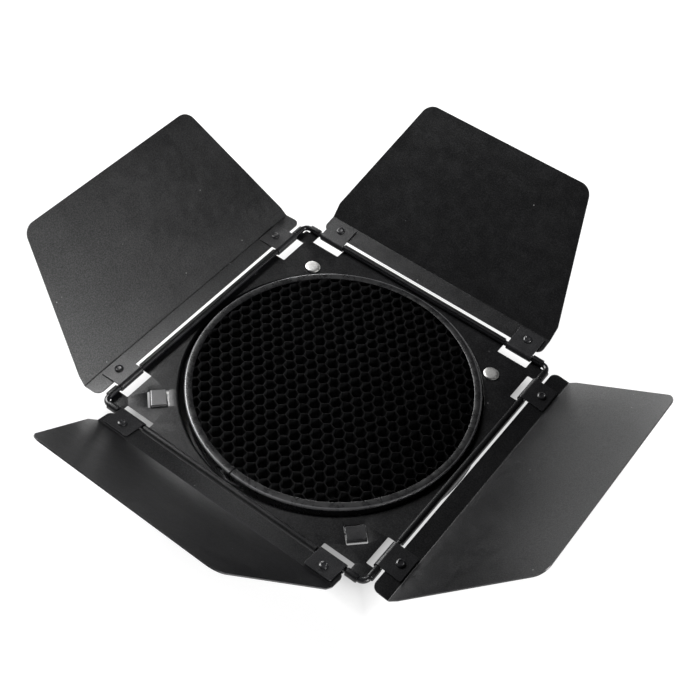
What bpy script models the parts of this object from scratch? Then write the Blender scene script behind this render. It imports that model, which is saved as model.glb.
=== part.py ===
# Four-leaf barn door with a round honeycomb grid for a standard 180 mm reflector.
# Metres, +Z towards the light exit, z = 0 on the rear rim of the collar.
import math

import bmesh
import bpy
from mathutils import Matrix, Vector

# ---------------------------------------------------------------- driving dimensions
FRAME_HALF = 0.095          # hinge wire centreline, half side of the square
WIRE_R = 0.0018             # hinge wire radius
WIRE_Z = 0.0167             # height of the hinge wire centreline
WIRE_BEND_R = 0.004         # centreline radius of the wire's corners
SHEET = 0.0007              # frame plate thickness
ROLL_R = 0.00235            # mid radius of the plate edge rolled round the wire
ROLL_END = math.radians(120.0)
HOLE_R = 0.09265            # plate hole where its edge starts to turn down
THROAT_R = 0.09125          # mid radius of the turned-down wall
THROAT_END_Z = 0.0095
SLOT_IN = 0.0627            # edge notches for the hinge loops, from the side's middle
SLOT_OUT = 0.0835
SLOT_DEPTH_AT = 0.0877      # inner edge of a notch, from the frame centre
CORNER_TAB_END = 0.0906     # rolled tab beside each corner ends here
CORNER_CUT = 0.0934         # plate corner is square up to here, under the bend of the wire
WINDOW_AT = 0.1032          # hook window centre, distance from the frame centre
WINDOW_RAD = 0.0125
WINDOW_TAN = 0.0122
STUD_AT = 0.0981            # latch stud, distance from the frame centre
STUD_R = 0.0018
HEAD_R = 0.0045

LEAF_T = 0.0008             # leaf sheet thickness
FLANGE_N = 0.0015           # flange mid plane above the hinge axis
FLANGE_START = 0.0044       # flange edge to hinge axis
FOLD_AT = 0.0160            # fold line to hinge axis
FOLD_R = 0.0012
PANEL_LEN = 0.0949
FLANGE_CORNER_R = 0.0045
TIP_CORNER_R = 0.009
BRACKET_W = 0.0177
BRACKET_AT = 0.0731
BRACKET_T = 0.0007
BRACKET_R = 0.00245         # mid radius of the hinge loop
BRACKET_END = 0.0146
LOOP_END_DEG = 325.0        # the loop closes round the wire up to here
RIVET_AT = 0.0084
RIVET_R = 0.0015
RIVET_HOLE_R = 0.0017
RIVET_HEAD_R = 0.0027

# each leaf: outward heading, flange rise at rest and shift along the hinge wire
SIDE_SHAPE = dict(fold=52.0, wide=0.0944, kink=0.0936, tip=0.0691, kink_at=0.0066)
END_SHAPE = dict(fold=36.0, wide=0.0848, kink=0.0851, tip=0.0605, kink_at=0.0099)
LEAVES = {
    "left": dict(SIDE_SHAPE, head=180.0, rise=-3.6, shift=0.0004),
    "right": dict(SIDE_SHAPE, head=0.0, rise=-6.2, shift=-0.0011),
    "top": dict(END_SHAPE, head=90.0, rise=10.7, shift=-0.0011),
    "bottom": dict(END_SHAPE, head=270.0, rise=14.3, shift=0.0),
}

GRID_X = 0.0011             # the grid sits slightly off centre in its seat
GRID_Y = 0.0007
RIM_R = 0.0893
RIM_IN = 0.0844
RIM_TOP = 0.0187
RIM_BOTTOM = 0.0067
RIM_T = 0.0007
RIM_WALL_R = 0.0889
SEAM_DEG = -93.8
CELL = 0.0148               # coarse stand-in cells, twice the real pitch
CELL_WALL = 0.0008
CELL_TURN = math.radians(11.7)

COLLAR_IN = 0.0936
COLLAR_T = 0.0008
COLLAR_TOP = 0.01375
COLLAR_FOOT_R = 0.0947
NOTCH_LOW = 0.0022
NOTCH_HIGH = 0.0062
GRIP_Z = 0.0034             # mid height of hook fingers and latch levers
GRIP_R = 0.0910
PLATE_MID = WIRE_Z - ROLL_R
PLATE_TOP = PLATE_MID + SHEET / 2
PLATE_LOW = PLATE_MID - SHEET / 2

# the leaves rest at unequal angles, so the frame stands this far off the middle of the whole
MIDDLE_X = 0.00157
MIDDLE_Y = 0.00238

# ---------------------------------------------------------------- scene and materials
for old in list(bpy.data.objects):
    bpy.data.objects.remove(old, do_unlink=True)


def make_material(name, colour, rough, metal):
    mat = bpy.data.materials.new(name)
    mat.use_nodes = True
    shader = mat.node_tree.nodes["Principled BSDF"]
    shader.inputs["Base Color"].default_value = (*colour, 1.0)
    shader.inputs["Roughness"].default_value = rough
    shader.inputs["Metallic"].default_value = metal
    return mat


BLACK = (0.022, 0.022, 0.024)


def put(bm, name, colour=BLACK, rough=0.5, metal=0.0, smooth=True, parent=None):
    bmesh.ops.remove_doubles(bm, verts=bm.verts, dist=1e-6)
    bmesh.ops.recalc_face_normals(bm, faces=bm.faces)
    mesh = bpy.data.meshes.new(name)
    bm.to_mesh(mesh)
    bm.free()
    obj = bpy.data.objects.new(name, mesh)
    bpy.context.scene.collection.objects.link(obj)
    obj.data.materials.append(make_material("mat_" + name, colour, rough, metal))
    if smooth:
        for poly in obj.data.polygons:
            poly.use_smooth = True
        mesh.set_sharp_from_angle(angle=math.radians(35))
    if parent is not None:
        obj.parent = parent
    return obj


def hide_cutter(obj):
    obj.hide_render = True
    obj.display_type = "WIRE"


def apply_modifiers(obj):
    deps = bpy.context.evaluated_depsgraph_get()
    mesh = bpy.data.meshes.new_from_object(obj.evaluated_get(deps))
    old = obj.data
    obj.modifiers.clear()
    obj.data = mesh
    bpy.data.meshes.remove(old)


def boolean(obj, cutters, operation="DIFFERENCE"):
    for cutter in cutters:
        hide_cutter(cutter)
        mod = obj.modifiers.new("bool", "BOOLEAN")
        mod.operation = operation
        mod.solver = "EXACT"
        mod.object = cutter
    bpy.context.view_layer.update()
    apply_modifiers(obj)
    for cutter in cutters:
        bpy.data.objects.remove(cutter, do_unlink=True)


def box_bm(size, centre, turn=None):
    bm = bmesh.new()
    bmesh.ops.create_cube(bm, size=1.0)
    stretch = Matrix.Diagonal((*size, 1.0))
    mat = Matrix.Translation(Vector(centre)) @ (turn or Matrix.Identity(4)) @ stretch
    bmesh.ops.transform(bm, matrix=mat, verts=bm.verts)
    return bm


def cylinder_bm(radius, low, high, segs, x=0.0, y=0.0):
    bm = bmesh.new()
    bmesh.ops.create_cone(bm, cap_ends=True, segments=segs, radius1=radius, radius2=radius,
                          depth=high - low)
    bmesh.ops.translate(bm, verts=bm.verts, vec=(x, y, (low + high) / 2))
    return bm


def turned_bm(profile, segs, x=0.0, y=0.0):
    # solid of revolution from an open outline that starts and ends on the axis
    bm = bmesh.new()
    verts = [bm.verts.new((x + r, y, z)) for r, z in profile]
    edges = [bm.edges.new((a, b)) for a, b in zip(verts, verts[1:])]
    bmesh.ops.spin(bm, geom=verts + edges, cent=(x, y, 0), axis=(0, 0, 1), angle=math.tau,
                   steps=segs, use_merge=True, use_duplicate=False)
    bmesh.ops.remove_doubles(bm, verts=bm.verts, dist=1e-6)
    return bm


def ring_bm(profile, segs, x=0.0, y=0.0):
    # closed outline swept through a full turn, away from the axis
    bm = bmesh.new()
    verts = [bm.verts.new((x + r, y, z)) for r, z in profile]
    edges = [bm.edges.new((a, b)) for a, b in zip(verts, verts[1:] + verts[:1])]
    bmesh.ops.spin(bm, geom=verts + edges, cent=(x, y, 0), axis=(0, 0, 1), angle=math.tau,
                   steps=segs, use_merge=True, use_duplicate=False)
    bmesh.ops.remove_doubles(bm, verts=bm.verts, dist=1e-6)
    return bm


def band_bm(path, thick, half_width):
    # strip of even thickness: a path in the x-z plane given by its mid line, extruded along y
    left, right = [], []
    for i, (u, n) in enumerate(path):
        a = path[max(i - 1, 0)]
        b = path[min(i + 1, len(path) - 1)]
        d1 = Vector((u - a[0], n - a[1])) if i else Vector((b[0] - u, b[1] - n))
        d2 = Vector((b[0] - u, b[1] - n)) if i < len(path) - 1 else d1
        d1.normalize()
        d2.normalize()
        t = (d1 + d2).normalized()
        s = thick / 2 / max(t.dot(d1), 0.5)
        left.append((u - t.y * s, n + t.x * s))
        right.append((u + t.y * s, n - t.x * s))
    loop = left + right[::-1]
    bm = bmesh.new()
    verts = [bm.verts.new((u, -half_width, n)) for u, n in loop]
    count = len(path)
    faces = [bm.faces.new((verts[i], verts[i + 1], verts[2 * count - 2 - i], verts[2 * count - 1 - i]))
             for i in range(count - 1)]
    res = bmesh.ops.extrude_face_region(bm, geom=faces)
    moved = [g for g in res["geom"] if isinstance(g, bmesh.types.BMVert)]
    bmesh.ops.translate(bm, verts=moved, vec=(0, 2 * half_width, 0))
    return bm


def arc(cx, cy, radius, first, last, steps):
    return [(cx + radius * math.cos(first + (last - first) * i / steps),
             cy + radius * math.sin(first + (last - first) * i / steps)) for i in range(steps + 1)]


# ---------------------------------------------------------------- frame plate
def plate_outline():
    # one quarter outline, then turned three times: notches for the hinge loops, square corners
    quarter = [(-SLOT_IN, FRAME_HALF), (SLOT_IN, FRAME_HALF), (SLOT_IN, SLOT_DEPTH_AT),
               (SLOT_OUT, SLOT_DEPTH_AT), (SLOT_OUT, FRAME_HALF), (CORNER_TAB_END, FRAME_HALF),
               (CORNER_TAB_END, CORNER_CUT), (CORNER_CUT, CORNER_CUT),
               (CORNER_CUT, CORNER_TAB_END), (FRAME_HALF, CORNER_TAB_END), (FRAME_HALF, SLOT_OUT),
               (SLOT_DEPTH_AT, SLOT_OUT), (SLOT_DEPTH_AT, SLOT_IN)]
    outline = []
    for turn in range(4):
        c, s = math.cos(-math.pi / 2 * turn), math.sin(-math.pi / 2 * turn)
        outline += [(x * c - y * s, x * s + y * c) for x, y in quarter]
    return outline


def build_plate():
    bm = bmesh.new()

    def loop(points):
        verts = [bm.verts.new((x, y, PLATE_MID)) for x, y in points]
        return verts, [bm.edges.new((a, b)) for a, b in zip(verts, verts[1:] + verts[:1])]

    outer_edges = loop(plate_outline())[1]
    segs = 72
    turns = [math.tau * i / segs for i in range(segs)]
    hole_edges = loop([(HOLE_R * math.cos(a), HOLE_R * math.sin(a)) for a in turns])[1]
    extra = []
    for sx in (-1, 1):
        c = math.sqrt(0.5)
        mid = WINDOW_AT * c
        hr, ht = WINDOW_RAD / 2, WINDOW_TAN / 2
        pts = []
        for a, b in ((-hr, -ht), (hr, -ht), (hr, ht), (-hr, ht)):
            pts.append((sx * mid + (sx * a + b) * c, -mid + (-a + sx * b) * c))
        extra += loop(pts)[1]
        sm = STUD_AT * c
        r = STUD_R + 0.0003
        extra += loop([(sx * sm + r * math.cos(math.tau * i / 12), sm + r * math.sin(math.tau * i / 12))
                       for i in range(12)])[1]
    bmesh.ops.triangle_fill(bm, use_beauty=True, use_dissolve=False,
                            edges=outer_edges + hole_edges + extra)

    # turned-down wall round the hole
    ring = hole_edges
    steps = 3
    bend = HOLE_R - THROAT_R
    for i in range(1, steps + 2):
        res = bmesh.ops.extrude_edge_only(bm, edges=ring)
        verts = [g for g in res["geom"] if isinstance(g, bmesh.types.BMVert)]
        ring = [g for g in res["geom"] if isinstance(g, bmesh.types.BMEdge)]
        for v in verts:
            if i <= steps:
                a = math.pi / 2 * i / steps
                r = HOLE_R - bend * math.sin(a)
                z = PLATE_MID - bend * (1 - math.cos(a))
            else:
                r, z = THROAT_R, THROAT_END_Z
            k = r / math.hypot(v.co.x, v.co.y)
            v.co = (v.co.x * k, v.co.y * k, z)

    # edges rolled round the wire: every outline edge that lies on a side
    for e in outer_edges:
        a, b = e.verts
        if abs(abs(a.co.x) - FRAME_HALF) < 1e-7 and abs(a.co.x - b.co.x) < 1e-7:
            out = Vector((math.copysign(1, a.co.x), 0, 0))
        elif abs(abs(a.co.y) - FRAME_HALF) < 1e-7 and abs(a.co.y - b.co.y) < 1e-7:
            out = Vector((0, math.copysign(1, a.co.y), 0))
        else:
            continue
        axis = Vector((0, 0, 1)).cross(out)
        middle = out * FRAME_HALF + Vector((0, 0, WIRE_Z))
        bmesh.ops.spin(bm, geom=[a, b, e], cent=middle, axis=-axis, angle=math.pi / 2 + ROLL_END,
                       steps=10, use_merge=False, use_duplicate=False)
    obj = put(bm, "frame_plate", rough=0.5)
    mod = obj.modifiers.new("thickness", "SOLIDIFY")
    mod.thickness = SHEET
    mod.offset = 0.0
    mod.use_even_offset = True
    bpy.context.view_layer.update()
    apply_modifiers(obj)
    return obj


# ---------------------------------------------------------------- hinge wire
def build_wire():
    bm = bmesh.new()
    sides = 12
    straight = FRAME_HALF - WIRE_BEND_R
    rings = []
    steps = 4
    for corner in range(4):
        base = math.pi / 2 * corner
        cx = straight * (1 if corner in (0, 3) else -1)
        cy = straight * (1 if corner in (0, 1) else -1)
        for i in range(steps + 1):
            a = base + math.pi / 2 * i / steps
            ring = []
            for k in range(sides):
                t = math.tau * (k + 0.5) / sides
                r = WIRE_BEND_R + WIRE_R * math.cos(t)
                ring.append(bm.verts.new((cx + r * math.cos(a), cy + r * math.sin(a),
                                          WIRE_Z + WIRE_R * math.sin(t))))
            rings.append(ring)
    loops = [[bm.edges.new((ring[k], ring[(k + 1) % sides])) for k in range(sides)] for ring in rings]
    for i, lp in enumerate(loops):
        bmesh.ops.bridge_loops(bm, edges=lp + loops[(i + 1) % len(loops)])
    return put(bm, "hinge_wire", (0.03, 0.03, 0.032), 0.38, 0.3)


# ---------------------------------------------------------------- leaves
def leaf_rows(spec):
    # half outline as (distance along the sheet, half width), from the hinge edge to the far edge
    rows = []
    for i in range(5):
        a = math.pi / 2 * i / 4
        rows.append((FLANGE_CORNER_R * (1 - math.cos(a)),
                     spec["wide"] - FLANGE_CORNER_R * (1 - math.sin(a))))
    k = spec["kink_at"]
    kink, tip = spec["kink"], spec["tip"]
    slope = math.atan2(kink - tip, PANEL_LEN - k)
    turn = math.pi / 2 - slope
    cut = TIP_CORNER_R * math.tan(turn / 2)
    cx = PANEL_LEN - TIP_CORNER_R
    cw = tip - cut
    tip_rows = []
    for i in range(6):
        a = turn * (1 - i / 5.0)
        tip_rows.append((cx + TIP_CORNER_R * math.cos(a), cw + TIP_CORNER_R * math.sin(a)))
    return rows, (k, kink), tip_rows


def leaf_surface(spec):
    # rows of (x, z, half width) in the leaf's own frame, hinge axis at the origin
    rows, kink, tips = leaf_rows(spec)
    fold = math.radians(spec["fold"])
    tangent = FOLD_R * math.tan(fold / 2)
    out = [(FLANGE_START + s, FLANGE_N, w) for s, w in rows]
    wide = spec["wide"]
    at = FOLD_AT - tangent
    for i in range(5):
        a = fold * i / 4
        share = (FOLD_R * a) / (kink[0] + tangent)
        w = wide + (kink[1] - wide) * min(share, 1.0)
        out.append((at + FOLD_R * math.sin(a), FLANGE_N + FOLD_R * (1 - math.cos(a)), w))
    for s, w in [kink] + tips:
        out.append((FOLD_AT + s * math.cos(fold), FLANGE_N + s * math.sin(fold), w))
    return out


def build_leaf(name, spec, parent):
    bm = bmesh.new()
    rows = leaf_surface(spec)
    pairs = [(bm.verts.new((x, -w, z)), bm.verts.new((x, w, z))) for x, z, w in rows]
    for (a, b), (c, d) in zip(pairs, pairs[1:]):
        bm.faces.new((a, b, d, c))
    obj = put(bm, name, (0.02, 0.02, 0.022), 0.48, parent=parent)
    mod = obj.modifiers.new("thickness", "SOLIDIFY")
    mod.thickness = LEAF_T
    mod.offset = 0.0
    mod.use_even_offset = True
    bpy.context.view_layer.update()
    apply_modifiers(obj)
    cutters = []
    for side in (-1, 1):
        hole = cylinder_bm(RIVET_HOLE_R, -0.004, 0.008, 12, RIVET_AT, side * BRACKET_AT)
        cutters.append(put(hole, "cut", parent=parent))
    boolean(obj, cutters)
    return obj


def build_bracket(name, side, parent):
    path = [(BRACKET_END, BRACKET_R)]
    path += arc(0, 0, BRACKET_R, math.pi / 2, math.radians(LOOP_END_DEG), 10)
    obj = put(band_bm(path, BRACKET_T, BRACKET_W / 2), name, rough=0.46, parent=parent)
    obj.location = (0, side * BRACKET_AT, 0)
    hole = cylinder_bm(RIVET_HOLE_R, 0.0005, 0.005, 12, RIVET_AT, side * BRACKET_AT)
    boolean(obj, [put(hole, "cut", parent=parent)])
    return obj


def build_rivet(name, side, parent):
    low = FLANGE_N - LEAF_T / 2 - 0.0002
    high = BRACKET_R + BRACKET_T / 2 + 0.0002
    tail = low - 0.0009
    profile = [(0, tail), (RIVET_HEAD_R * 0.75, tail), (RIVET_HEAD_R * 0.85, low), (RIVET_R, low),
               (RIVET_R, high), (RIVET_HEAD_R, high), (RIVET_HEAD_R * 0.86, high + 0.0007),
               (RIVET_HEAD_R * 0.5, high + 0.0011), (0, high + 0.0012)]
    obj = put(turned_bm(profile, 12), name, (0.03, 0.03, 0.032), 0.35, 0.2, parent=parent)
    obj.location = (RIVET_AT, side * BRACKET_AT, 0)
    return obj


def build_leaf_set(key, spec):
    pivot = bpy.data.objects.new("pivot_" + key, None)
    bpy.context.scene.collection.objects.link(pivot)
    head = math.radians(spec["head"])
    out = Vector((math.cos(head), math.sin(head), 0))
    along = Vector((-math.sin(head), math.cos(head), 0))
    on_axis = out * FRAME_HALF + along * spec["shift"] + Vector((0, 0, WIRE_Z))
    rise = Matrix.Rotation(-math.radians(spec["rise"]), 4, "Y")
    pivot.matrix_world = Matrix.Translation(on_axis) @ Matrix.Rotation(head, 4, "Z") @ rise
    bpy.context.view_layer.update()
    build_leaf("leaf_" + key, spec, pivot)
    for tag, side in (("a", -1), ("b", 1)):
        build_bracket("hinge_%s_%s" % (key, tag), side, pivot)
        build_rivet("rivet_%s_%s" % (key, tag), side, pivot)


# ---------------------------------------------------------------- honeycomb grid
def build_rim():
    half_gap = 0.0004 / RIM_R
    start = math.radians(SEAM_DEG) + half_gap
    t = RIM_T
    wall = RIM_WALL_R
    profile = [(RIM_IN, RIM_TOP), (RIM_R - 0.0004, RIM_TOP), (RIM_R, RIM_TOP - 0.0004),
               (RIM_R, RIM_TOP - t),
               (wall, RIM_TOP - t), (wall, RIM_BOTTOM), (0.0864, RIM_BOTTOM), (0.0864, RIM_BOTTOM + t),
               (wall - t, RIM_BOTTOM + t), (wall - t, RIM_TOP - t), (RIM_IN, RIM_TOP - t)]
    segs = 64
    bm = bmesh.new()
    rings = []
    for i in range(segs + 1):
        a = start + (math.tau - 2 * half_gap) * i / segs
        rings.append([bm.verts.new((GRID_X + r * math.cos(a), GRID_Y + r * math.sin(a), z))
                      for r, z in profile])
    n = len(profile)
    for a, b in zip(rings, rings[1:]):
        for k in range(n):
            bm.faces.new((a[k], b[k], b[(k + 1) % n], a[(k + 1) % n]))
    for ring in (rings[0], rings[-1]):
        # each open end closed by quads across the channel's section
        for quad in ((0, 1, 2, 3, 4, 9, 10), (4, 5, 8, 9), (5, 6, 7, 8)):
            bm.faces.new([ring[q] for q in quad])
    return put(bm, "grid_rim", (0.035, 0.035, 0.038), 0.35, 0.5)


def build_core():
    low = RIM_BOTTOM + RIM_T + 0.00025
    high = RIM_TOP - RIM_T - 0.00025
    radius = RIM_WALL_R - RIM_T - 0.0003
    disc = cylinder_bm(radius, low, high, 64, GRID_X, GRID_Y)
    core = put(disc, "grid_core", (0.012, 0.012, 0.013), 0.6)
    cells = bmesh.new()
    hex_r = (CELL - CELL_WALL) / math.sqrt(3.0)
    count = int(radius / CELL) + 2
    u = Vector((math.cos(CELL_TURN), math.sin(CELL_TURN)))
    v = Vector((math.cos(CELL_TURN + math.pi / 3), math.sin(CELL_TURN + math.pi / 3)))
    for i in range(-count * 2, count * 2 + 1):
        for j in range(-count * 2, count * 2 + 1):
            c = (u * i + v * j) * CELL
            reach = c.length + hex_r
            if c.length > radius - 0.006:
                continue
            full = reach < radius - 0.001
            ring = []
            for k in range(6):
                a = CELL_TURN + math.pi / 6 + math.pi / 3 * k
                p = c + Vector((math.cos(a), math.sin(a))) * hex_r
                if not full:
                    lim = radius - 0.001
                    if p.length > lim:
                        p = p * (lim / p.length)
                ring.append(p)
            lower = [cells.verts.new((GRID_X + p.x, GRID_Y + p.y, low - 0.001)) for p in ring]
            face = cells.faces.new(lower)
            res = bmesh.ops.extrude_face_region(cells, geom=[face])
            moved = [g for g in res["geom"] if isinstance(g, bmesh.types.BMVert)]
            bmesh.ops.translate(cells, verts=moved, vec=(0, 0, high - low + 0.002))
    cutter = put(cells, "cut", smooth=False)
    boolean(core, [cutter])
    return core


def build_spring(name, degrees):
    # thin bowed clip on the rim's wall, its middle close to the seat's wall
    a0 = math.radians(degrees)
    half = math.radians(5.6)
    base = RIM_WALL_R + 0.00015
    thick = 0.0003
    steps = 8
    bm = bmesh.new()
    inner, outer = [], []
    for i in range(steps + 1):
        s = i / steps
        a = a0 + half * (2 * s - 1)
        direction = Vector((math.cos(a), math.sin(a)))
        seat = THROAT_R - SHEET / 2 - 0.0003
        off = Vector((GRID_X, GRID_Y)).dot(direction)
        gap = max(seat - off - base - thick, 0.0)
        rise = gap * 0.85 * math.sin(math.pi * s) ** 2
        for store, r in ((inner, base + rise), (outer, base + rise + thick)):
            store.append(direction * r + Vector((GRID_X, GRID_Y)))
    low = [bm.verts.new((p.x, p.y, 0.0105)) for p in inner]
    low_out = [bm.verts.new((p.x, p.y, 0.0105)) for p in outer]
    faces = [bm.faces.new((low[i], low[i + 1], low_out[i + 1], low_out[i])) for i in range(steps)]
    res = bmesh.ops.extrude_face_region(bm, geom=faces)
    moved = [g for g in res["geom"] if isinstance(g, bmesh.types.BMVert)]
    bmesh.ops.translate(bm, verts=moved, vec=(0, 0, 0.0032))
    return put(bm, name, (0.3, 0.3, 0.31), 0.35, 0.9)


# ---------------------------------------------------------------- rear collar, hooks and latches
def build_collar():
    out = COLLAR_IN + COLLAR_T
    profile = [(COLLAR_IN, 0), (COLLAR_FOOT_R, 0), (COLLAR_FOOT_R, COLLAR_T), (out, COLLAR_T),
               (out, COLLAR_TOP), (COLLAR_IN, COLLAR_TOP)]
    collar = put(ring_bm(profile, 72), "collar_ring", rough=0.45)
    cutters = []
    for deg, width in ((45, 0.021), (135, 0.021), (225, 0.013), (315, 0.013)):
        a = math.radians(deg)
        centre = (COLLAR_IN * math.cos(a), COLLAR_IN * math.sin(a), (NOTCH_LOW + NOTCH_HIGH) / 2)
        size = (0.006, width, NOTCH_HIGH - NOTCH_LOW)
        cutters.append(put(box_bm(size, centre, Matrix.Rotation(a, 4, "Z")), "cut"))
    boolean(collar, cutters)
    return collar


def build_hook(name, degrees):
    # one bent strip: pad in the plate's window, down outside, in under the plate, down the collar
    t = 0.0008
    pad = PLATE_TOP + 0.0011
    under = PLATE_LOW - 0.00025 - t / 2
    wall = COLLAR_IN + COLLAR_T + 0.0003 + t / 2
    edge = WINDOW_AT + 0.0046
    path = [(WINDOW_AT - 0.0048, pad), (edge - 0.001, pad)]
    path += arc(edge - 0.001, pad - 0.001, 0.001, math.pi / 2, 0, 3)[1:]
    path += arc(edge - 0.001, under + 0.001, 0.001, 0, -math.pi / 2, 3)
    path += arc(wall + 0.001, under - 0.001, 0.001, math.pi / 2, math.pi, 3)
    path += arc(wall - 0.001, GRIP_Z + 0.001, 0.001, 0, -math.pi / 2, 3)
    path += [(GRIP_R, GRIP_Z)]
    obj = put(band_bm(path, t, 0.0057), name, (0.03, 0.03, 0.032), 0.4, 0.2)
    obj.rotation_euler = (0, 0, math.radians(degrees))
    return obj


def build_stud(name, x, y):
    washer_top = PLATE_TOP + 0.0002 + 0.0005
    low = washer_top + 0.0001
    head = 0.0011
    tail = 0.0022
    profile = [(0, tail - 0.0009), (0.0022, tail - 0.0009), (0.0026, tail - 0.0005),
               (0.0026, GRIP_Z - 0.0007), (STUD_R, GRIP_Z - 0.0007), (STUD_R, low), (HEAD_R, low),
               (HEAD_R, low + head - 0.0004), (HEAD_R - 0.0005, low + head), (0, low + head)]
    obj = put(turned_bm(profile, 20), name, (0.62, 0.61, 0.58), 0.3, 1.0)
    obj.location = (x, y, 0)
    return obj


def build_washer(name, x, y):
    low = PLATE_TOP + 0.0002
    inner = STUD_R + 0.0008
    bm = ring_bm([(inner, low), (0.0047, low), (0.0047, low + 0.0005), (inner, low + 0.0005)], 20)
    obj = put(bm, name, (0.55, 0.55, 0.54), 0.35, 1.0)
    obj.location = (x + 0.0004, y + 0.0003, 0)
    return obj


def build_spacer(name, x, y):
    low = GRIP_Z + 0.0004 + 0.0003
    high = PLATE_LOW - 0.0003
    inner = STUD_R + 0.0002
    obj = put(ring_bm([(inner, low), (0.0030, low), (0.0030, high), (inner, high)], 16), name,
              (0.05, 0.05, 0.052), 0.4, 0.4)
    obj.location = (x, y, 0)
    return obj


def build_latch(name, x, y, degrees):
    # flat lever: finger inward through the collar, round boss on the stud, thumb tail outward
    bm = bmesh.new()
    half = 0.0038
    tip = STUD_AT - GRIP_R
    pts = [(-tip, -half), (-tip, half)]
    boss = 0.0058
    a = math.asin(half / boss)
    pts += [(boss * math.cos(b), boss * math.sin(b)) for b in
            [math.pi - a - (math.pi - 2 * a) * i / 6 for i in range(7)]]
    pts += arc(0.0115, 0, half, math.pi / 2, -math.pi / 2, 6)
    pts += [(boss * math.cos(b), boss * math.sin(b)) for b in
            [-a - (math.pi - 2 * a) * i / 6 for i in range(7)]]
    ring = [bm.verts.new((px, py, GRIP_Z - 0.0004)) for px, py in pts]
    face = bm.faces.new(ring)
    res = bmesh.ops.extrude_face_region(bm, geom=[face])
    moved = [g for g in res["geom"] if isinstance(g, bmesh.types.BMVert)]
    bmesh.ops.translate(bm, verts=moved, vec=(0, 0, 0.0008))
    obj = put(bm, name, (0.03, 0.03, 0.032), 0.4, 0.2)
    obj.location = (x, y, 0)
    obj.rotation_euler = (0, 0, math.radians(degrees))
    bpy.context.view_layer.update()
    boolean(obj, [put(cylinder_bm(STUD_R + 0.00008, 0.001, 0.006, 20, x, y), "cut")])
    return obj


build_plate()
build_wire()
build_collar()
for leaf_key, leaf_spec in LEAVES.items():
    build_leaf_set(leaf_key, leaf_spec)
build_rim()
build_core()
for tag, where in (("a", -92.8), ("b", 147.2), ("c", 27.2)):
    build_spring("grid_spring_" + tag, where)
build_hook("hook_left", 225.0)
build_hook("hook_right", 315.0)
diagonal = STUD_AT * math.sqrt(0.5)
for tag, sx, deg in (("left", -1, 135.0), ("right", 1, 45.0)):
    build_stud("latch_stud_" + tag, sx * diagonal, diagonal)
    build_washer("latch_washer_" + tag, sx * diagonal, diagonal)
    build_spacer("latch_spacer_" + tag, sx * diagonal, diagonal)
    build_latch("latch_" + tag, sx * diagonal, diagonal, deg)

for placed in bpy.data.objects:
    if placed.parent is None:
        placed.matrix_world = Matrix.Translation((-MIDDLE_X, -MIDDLE_Y, 0)) @ placed.matrix_world
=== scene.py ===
import math

import bmesh
import bpy
from mathutils import Matrix, Vector, noise


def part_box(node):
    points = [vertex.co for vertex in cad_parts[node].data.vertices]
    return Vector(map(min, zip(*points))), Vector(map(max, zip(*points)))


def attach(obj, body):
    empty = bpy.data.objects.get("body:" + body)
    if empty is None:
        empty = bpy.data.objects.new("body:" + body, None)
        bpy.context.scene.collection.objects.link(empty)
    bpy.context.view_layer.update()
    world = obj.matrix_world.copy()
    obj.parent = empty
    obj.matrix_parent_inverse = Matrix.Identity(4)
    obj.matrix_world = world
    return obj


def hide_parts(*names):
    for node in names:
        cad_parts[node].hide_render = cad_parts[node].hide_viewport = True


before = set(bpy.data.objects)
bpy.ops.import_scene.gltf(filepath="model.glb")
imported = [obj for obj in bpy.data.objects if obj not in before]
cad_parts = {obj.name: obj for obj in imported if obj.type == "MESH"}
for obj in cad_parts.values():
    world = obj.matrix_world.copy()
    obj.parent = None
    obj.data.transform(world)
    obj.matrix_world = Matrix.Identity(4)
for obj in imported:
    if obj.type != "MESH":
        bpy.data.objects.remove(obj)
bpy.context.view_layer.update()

# ---------------------------------------------------------------- sizes read from the frame
wire_low, wire_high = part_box("hinge_wire")
rim_low, rim_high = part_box("grid_rim")
CENTRE = Vector(((wire_low.x + wire_high.x) / 2, (wire_low.y + wire_high.y) / 2, 0))
WIRE_Z = (wire_low.z + wire_high.z) / 2
FRAME_HALF = (wire_high.x - wire_low.x) / 2 - (wire_high.z - wire_low.z) / 2
GRID_MID = Vector(((rim_low.x + rim_high.x) / 2, (rim_low.y + rim_high.y) / 2, 0)) - CENTRE
RIM_TOP = rim_high.z
RIM_BOTTOM = rim_low.z
COLLAR_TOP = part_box("collar_ring")[1].z

# ---------------------------------------------------------------- sizes of the design
CLOSE = 1e-6                 # points nearer than this are one point
OFF_AXIS = math.sqrt(0.5)    # share of a distance along a diagonal that lies on each axis

WIRE_R = 0.0018
WIRE_DRAWN_R = WIRE_R * 0.97   # drawn a hair thin, clear of the sheet rolled round it
WIRE_BEND_R = 0.004
SHEET = 0.0007
ROLL_R = 0.00235
ROLL_END = math.radians(120.0)
SLOT_CORNER_R = 0.0006
HOLE_R = 0.09265
THROAT_R = 0.09125
THROAT_END_Z = 0.0095
SLOT_IN = 0.0627
SLOT_OUT = 0.0835
SLOT_DEPTH_AT = 0.0877
CORNER_TAB_END = 0.0906
CORNER_CUT = 0.0934
WINDOW_AT = 0.1032
WINDOW_RAD = 0.0125
WINDOW_TAN = 0.0122
WINDOW_CORNER_R = 0.0007
PLATE_MID = WIRE_Z - ROLL_R
PLATE_TOP = PLATE_MID + SHEET / 2
PLATE_LOW = PLATE_MID - SHEET / 2

STUD_AT = 0.0981
STUD_R = 0.0018
STUD_PLAY = 0.0003           # the plate's hole is this much wider than the stud's radius
HEAD_R = 0.0045
HEAD_H = 0.0011
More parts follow.
